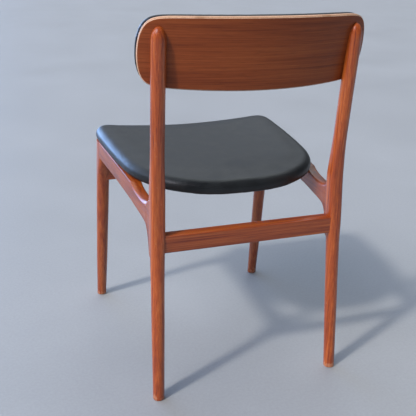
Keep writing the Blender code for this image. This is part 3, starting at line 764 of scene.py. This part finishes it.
def pad_profile(thickness, lower_radius, upper_radius, steps=6):
    """(inset, height) pairs of a pad's edge, which turns in sharply below and softly above.

    The upper edge starts low, so that nearly the whole side slopes.
    """
    upper_height = 0.9 * (thickness - lower_radius)
    pairs = []
    for i in range(steps + 1):
        turn = math.radians(-90 + 90 * i / steps)
        pairs.append((lower_radius * (1 - math.cos(turn)),
                      lower_radius * (1 + math.sin(turn)) - thickness / 2))
    for i in range(1, steps + 1):
        turn = math.radians(90 * i / steps)
        pairs.append((upper_radius * (1 - math.cos(turn)),
                      thickness / 2 - upper_height * (1 - math.sin(turn))))
    return pairs


def remeshed(obj, voxel):
    """Give a pad an even mesh that still lies on its own smooth surface."""
    shape = bpy.data.objects.new("shape", obj.data)
    bpy.context.scene.collection.objects.link(shape)
    remesh = obj.modifiers.new("remesh", "REMESH")
    remesh.mode = "VOXEL"
    remesh.voxel_size = voxel
    smooth = obj.modifiers.new("smooth", "SMOOTH")
    smooth.iterations = 4
    wrap = obj.modifiers.new("wrap", "SHRINKWRAP")
    wrap.target = shape
    wrap.wrap_method = "NEAREST_SURFACEPOINT"
    depsgraph = bpy.context.evaluated_depsgraph_get()
    mesh = bpy.data.meshes.new_from_object(obj.evaluated_get(depsgraph))
    obj.modifiers.clear()
    obj.data = mesh
    bpy.data.objects.remove(shape)


def evened(shifts, edges, held, rounds=10):
    """Average each point's shift with its neighbours', so that the filled cover stays free of ripples."""
    for _ in range(rounds):
        total = shifts.copy()
        count = np.ones(len(shifts))
        for a, b in ((0, 1), (1, 0)):
            np.add.at(total, edges[:, a], shifts[edges[:, b]])
            np.add.at(count, edges[:, a], 1)
        shifts = total / count[:, None]
        shifts[held] = 0.0
    return shifts


def inflate(obj, held, cap, pressure=4.0):
    """Let cloth pressure fill the cover out; held says which points stay where they are stapled."""
    rest = np.array([v.co for v in obj.data.vertices])
    stapled = [v.index for v in obj.data.vertices if held(v.co)]
    edges = np.array([e.vertices[:] for e in obj.data.edges])
    group = obj.vertex_groups.new(name="held")
    group.add(stapled, 1.0, "REPLACE")
    cloth = obj.modifiers.new("cloth", "CLOTH")
    cloth.settings.vertex_group_mass = "held"
    cloth.settings.use_pressure = True
    cloth.settings.uniform_pressure_force = pressure
    cloth.settings.effector_weights.gravity = 0.0
    for number in range(1, 21):
        bpy.context.scene.frame_set(number)
    depsgraph = bpy.context.evaluated_depsgraph_get()
    filled = np.array([v.co for v in obj.evaluated_get(depsgraph).data.vertices])
    obj.modifiers.remove(cloth)
    obj.vertex_groups.clear()
    shifts = filled - rest
    lengths = np.linalg.norm(shifts, axis=1)
    shifts *= (np.minimum(lengths, cap) / np.maximum(lengths, 1e-9))[:, None]
    points = rest + evened(shifts, edges, stapled)
    obj.data.vertices.foreach_set("co", points.ravel())
    bpy.context.scene.frame_set(1)


def add_seat_pad():
    rings = slab_rings(seat_outline(), pad_profile(SEAT_THICKNESS, SEAT_LOWER_RADIUS, SEAT_TOP_RADIUS),
                       seat_place)
    pad = add_piece("seat_pad", loft("seat_pad", rings))
    remeshed(pad, 0.005)
    def held(point):
        return point.z < seat_mid_z(point.x, point.y - FRONT_FEET_Y) + 0.004
    inflate(pad, held, cap=0.0024)
    pad.modifiers.new("rounder", "SUBSURF").render_levels = 1
    pad.data.materials.append(vinyl("vinyl_seat", 0.42))
    pad.data.shade_smooth()
    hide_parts("seat_cover", "seat_foam")
    return pad


def add_back_pad():
    profile = pad_profile(PAD_THICKNESS, PAD_REAR_RADIUS, PAD_FRONT_RADIUS)
    rings = slab_rings(back_outline(*PAD_GROWTH), profile,
                       pad_place)
    pad = add_piece("back_pad", loft("back_pad", rings))
    remeshed(pad, 0.004)
    def held(point):
        return point.y > pad_place(point.x, point.z, 0.002).y + FRONT_FEET_Y
    inflate(pad, held, cap=0.0024)
    pad.modifiers.new("rounder", "SUBSURF").render_levels = 1
    pad.data.materials.append(vinyl("vinyl_back", 0.30))
    pad.data.shade_smooth()
    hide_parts("back_cover", "back_foam")
    return pad


def dust_cover_point(p, share, drop):
    """A point of the dust cover, which hangs a little in its middle and puckers between its staples."""
    sag = DUST_SAG * (1 - share ** 2) ** 1.5
    turn = math.atan2(p.y - 0.2, p.x)
    pucker = DUST_PUCKER * math.sin(STAPLES * turn) * share ** 6
    return seat_place(p.x, p.y, -SEAT_THICKNESS / 2 - DUST_GAP - drop - sag - pucker)


def add_dust_cover():
    """Black cloth stapled under the seat, with its edge folded over into a hem."""
    edge = inset(seat_outline(), DUST_INSET)
    centre = sum(edge, Vector((0, 0))) / len(edge)
    shares = [i / 16 for i in range(1, 15)] + [0.925, 0.958, 0.962, 0.985, 1.0]
    upper = []
    lower = []
    for share in shares:
        ring = [centre + (p - centre) * share for p in edge]
        thick = DUST_CLOTH * (HEM_LAYERS if share > HEM_START else 1.0)
        upper.append([dust_cover_point(p, share, 0.0) for p in ring])
        lower.append([dust_cover_point(p, share, thick) for p in ring])
    cover = add_piece("dust_cover", loft("dust_cover", upper + list(reversed(lower))))
    cover.data.materials.append(cambric("cambric_cover"))
    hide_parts("seat_dust_cover")


def add_staples():
    """Steel staples along the dust cover's hem."""
    path = inset(seat_outline(), DUST_INSET + 0.004)
    path.append(path[0])
    points = even_points(path, STAPLES * 2 + 1)
    bm = bmesh.new()
    for before, here, after in zip(points[0::2], points[1::2], points[2::2]):
        along = (after - before).normalized()
        low = dust_cover_point(here, 0.97, DUST_CLOTH * HEM_LAYERS + 0.0002)
        made = bmesh.ops.create_cube(bm, size=1.0)["verts"]
        bmesh.ops.scale(bm, vec=STAPLE_SIZE, verts=made)
        turn = Matrix.Rotation(math.atan2(along.y, along.x), 4, "Z")
        bmesh.ops.transform(bm, matrix=Matrix.Translation(row(low)) @ turn, verts=made)
    bmesh.ops.bevel(bm, geom=list(bm.edges), offset=0.0002, segments=2, affect="EDGES")
    mesh = bpy.data.meshes.new("staples")
    bm.to_mesh(mesh)
    bm.free()
    staples = add_piece("staples", mesh, smooth=False)
    mesh.materials.append(zinc("zinc_staples"))


# ---- CAD pieces that stay ----

def finish_cad_nodes():
    looks = {"dowel": wood("beech", "Y", 31, BEECH_STOPS, figure=0.4), "screw": zinc("zinc_plate"),
             "board": wood("plywood", "X", 33, BEECH_STOPS)}
    for name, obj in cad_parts.items():
        if obj.hide_render:
            continue
        for word, material in looks.items():
            if word in name:
                obj.data.materials.clear()
                obj.data.materials.append(material)


# ---- studio ----

def aim(obj, location, target, roll=0.0):
    direction = Vector(target) - Vector(location)
    turn = direction.to_track_quat("-Z", "Y").to_matrix().to_4x4() @ Matrix.Rotation(roll, 4, "Z")
    obj.matrix_world = Matrix.Translation(location) @ turn


def add_key_light(towards, softness, strength, colour):
    """One broad light from far off, so that the floor is lit evenly."""
    data = bpy.data.lights.new("key", "SUN")
    data.angle = softness
    data.energy = strength
    data.color = colour
    light = bpy.data.objects.new("key", data)
    light.visible_glossy = False      # the sky's own lights make the reflections
    bpy.context.scene.collection.objects.link(light)
    aim(light, towards * 4, Vector())


def add_floor():
    bm = bmesh.new()
    bmesh.ops.create_grid(bm, x_segments=4, y_segments=4, size=30)
    mesh = bpy.data.meshes.new("floor")
    bm.to_mesh(mesh)
    bm.free()
    floor = bpy.data.objects.new("floor", mesh)
    bpy.context.scene.collection.objects.link(floor)
    g = Graph("floor", Specular_IOR_Level=0.4)
    cloud = g.noise(g.place((2.2, 2.2, 1)), detail=5, roughness=0.6)
    speck = g.noise(g.place((160, 160, 1)), detail=3)
    tone = g.math("ADD", g.math("MULTIPLY", cloud, 0.6), g.math("MULTIPLY", speck, 0.4))
    colour = g.ramp(tone, ((0.35, (0.31, 0.32, 0.335)), (0.65, (0.36, 0.37, 0.385))))
    mesh.materials.append(g.finish(colour, g.spread(cloud, 0.3, 0.7, 0.5, 0.65), g.bump(speck, 0.0004, 0.5)))


def add_camera():
    data = bpy.data.cameras.new("camera")
    data.sensor_width = 36.0
    data.lens = 61.59
    data.clip_end = 100.0
    camera = bpy.data.objects.new("camera", data)
    bpy.context.scene.collection.objects.link(camera)
    location = Vector((0.55036, 1.43360, 0.92269))
    forward = Vector((-0.32576, -0.87094, -0.36789))
    aim(camera, location, location + forward, roll=math.radians(1.697))
    bpy.context.scene.camera = camera
    return camera


KEY_TOWARDS = (0.661, 0.267, 0.700)
SKY = (0.80, 0.88, 1.0)
SKY_STRENGTH = 0.25
SKY_SIDES = (0.62, 1.25)      # how bright it is towards -X and towards +X
SKY_LIGHTS = (          # direction, half angles in degrees of the full light and its faded rim, colour
    ((0.36, -0.93, 0.05), (8, 27), (4.0, 6.6, 12.0)),
    ((0.70, -0.42, 0.58), (8, 32), (1.1, 1.4, 1.9)),
    (KEY_TOWARDS, (7, 20), (5.4, 5.3, 5.9)),
    ((-0.30, -0.50, 0.81), (5, 20), (0.8, 0.9, 0.85)),
    ((-0.20, -0.62, 0.76), (10, 42), (0.80, 0.86, 0.94)))


def add_sky():
    """Even light from all round, with broad soft lights in it where a studio has its soft boxes."""
    world = bpy.data.worlds.new("studio")
    world.use_nodes = True
    bpy.context.scene.world = world
    g = Nodes(world.node_tree)
    background = world.node_tree.nodes["Background"]
    background.inputs["Strength"].default_value = 1.0
    towards = g.node("ShaderNodeTexCoord").outputs["Generated"]
    dim, bright = [tuple(SKY_STRENGTH * side * part for part in SKY) + (1.0,) for side in SKY_SIDES]
    split = g.node("ShaderNodeSeparateXYZ")
    g.plug(split.inputs[0], towards)
    colour = g.mix(g.spread(split.outputs["X"], -0.8, 0.8), dim, bright)
    for direction, (full, rim), light in SKY_LIGHTS:
        nearness = g.node("ShaderNodeVectorMath", operation="DOT_PRODUCT")
        g.plug(nearness.inputs[0], towards)
        nearness.inputs[1].default_value = Vector(direction).normalized()
        share = g.spread(nearness.outputs["Value"], math.cos(math.radians(rim)), math.cos(math.radians(full)))
        colour = g.mix(share, colour, (*light, 1.0), "ADD")
    g.plug(background.inputs["Color"], colour)


def add_studio():
    bpy.context.scene.view_settings.view_transform = "Standard"
    add_sky()
    add_key_light(Vector(KEY_TOWARDS), math.radians(5), 1.95, (1.0, 0.95, 0.86))


add_wood()
add_panel()
add_seat_pad()
add_back_pad()
add_dust_cover()
add_staples()
finish_cad_nodes()
add_floor()
add_camera()
add_studio()
